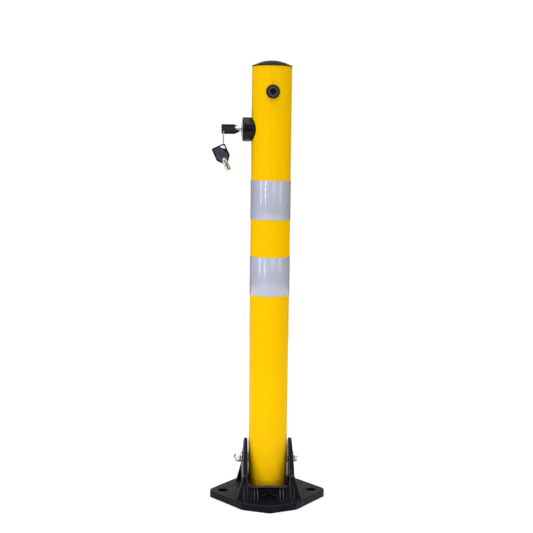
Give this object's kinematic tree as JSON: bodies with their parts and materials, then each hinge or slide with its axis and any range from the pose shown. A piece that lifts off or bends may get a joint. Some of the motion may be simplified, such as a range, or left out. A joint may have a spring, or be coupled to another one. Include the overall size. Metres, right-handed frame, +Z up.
{
  "type": "folding parking post",
  "caption": "Fold-down road post: steel tube on a cast base with a hinge bolt, side key lock, floor latch, reflective bands and anchor holes.",
  "frame": {"origin": "underside of the base plate, on the upright post's axis", "axes": "+Z up along the upright post, X along the hinge bolt with the lock on -X, -Y towards the side the post folds to"},
  "size_m": [0.179, 0.159, 0.672],
  "materials": {
    "casting": "satin black powder coat over a sand-cast surface",
    "steel": "plain turned steel",
    "zinc": "bright zinc plate",
    "chrome": "nickel and chrome plate",
    "black_steel": "black oxide",
    "yellow_paint": "gloss yellow powder coat",
    "black_plastic": "moulded satin black",
    "rubber": "moulded black rubber",
    "reflective_tape": "grey-white retroreflective sheeting"
  },
  "bodies": {
    "base": {"base_casting": "casting", "keeper_bush": "steel", "hinge_bolt": "zinc", "hinge_cap_nut": "zinc", "hinge_washers": "zinc", "hinge_spacers": "zinc"},
    "post": {"post_tube": "yellow_paint", "hinge_sleeve": "steel", "top_cap": "black_plastic", "upper_band": "reflective_tape", "lower_band": "reflective_tape", "buffer": "rubber", "buffer_screw": "black_steel", "buffer_nut": "zinc", "lock_housing": "black_plastic", "lock_barrel": "chrome", "lock_nut": "zinc", "upper_guide": "steel", "lower_guide": "steel"},
    "lock_core": {"lock_plug": "chrome", "crank_disc": "steel", "crank_pin": "steel", "crank_screw": "zinc"},
    "latch": {"yoke": "steel", "latch_rod": "steel", "latch_bolt": "steel", "roll_pins": "zinc"},
    "key": {"key_shank": "chrome", "key_bow": "black_plastic"},
    "wire_ring": {"key_ring": "chrome"},
    "spare_key": {"spare_key_shank": "chrome", "spare_key_bow": "black_plastic"}
  },
  "joints": [
    {"name": "post_fold", "type": "hinge", "parent": "base", "child": "post", "pos_m": [0, 0, 0.0625], "axis": [1, 0, 0], "range_deg": [0, 92.85]},
    {"name": "lock_turn", "type": "hinge", "parent": "post", "child": "lock_core", "pos_m": [0, 0, 0.5695], "axis": [-1, 0, 0], "range_deg": [0, 90]},
    {"name": "bolt_slide", "type": "slide", "parent": "post", "child": "latch", "axis": [0, 0, -1], "range_m": [0, 0.01202]},
    {"name": "key_pull", "type": "slide", "parent": "lock_core", "child": "key", "axis": [-1, 0, 0], "range_m": [0, 0.03]},
    {"name": "ring_swing", "type": "hinge", "parent": "key", "child": "wire_ring", "pos_m": [-0.0722, -0.00799, 0.56391], "axis": [1, 0, 0], "range_deg": [-8, 8]},
    {"name": "spare_key_swing", "type": "hinge", "parent": "wire_ring", "child": "spare_key", "pos_m": [-0.0722, -0.00799, 0.54416], "axis": [0, 1, 0], "range_deg": [-40, 40]}
  ],
  "couplings": [
    {"joint": "lock_turn", "follows": "bolt_slide", "rad_per_m": 130.67}
  ]
}
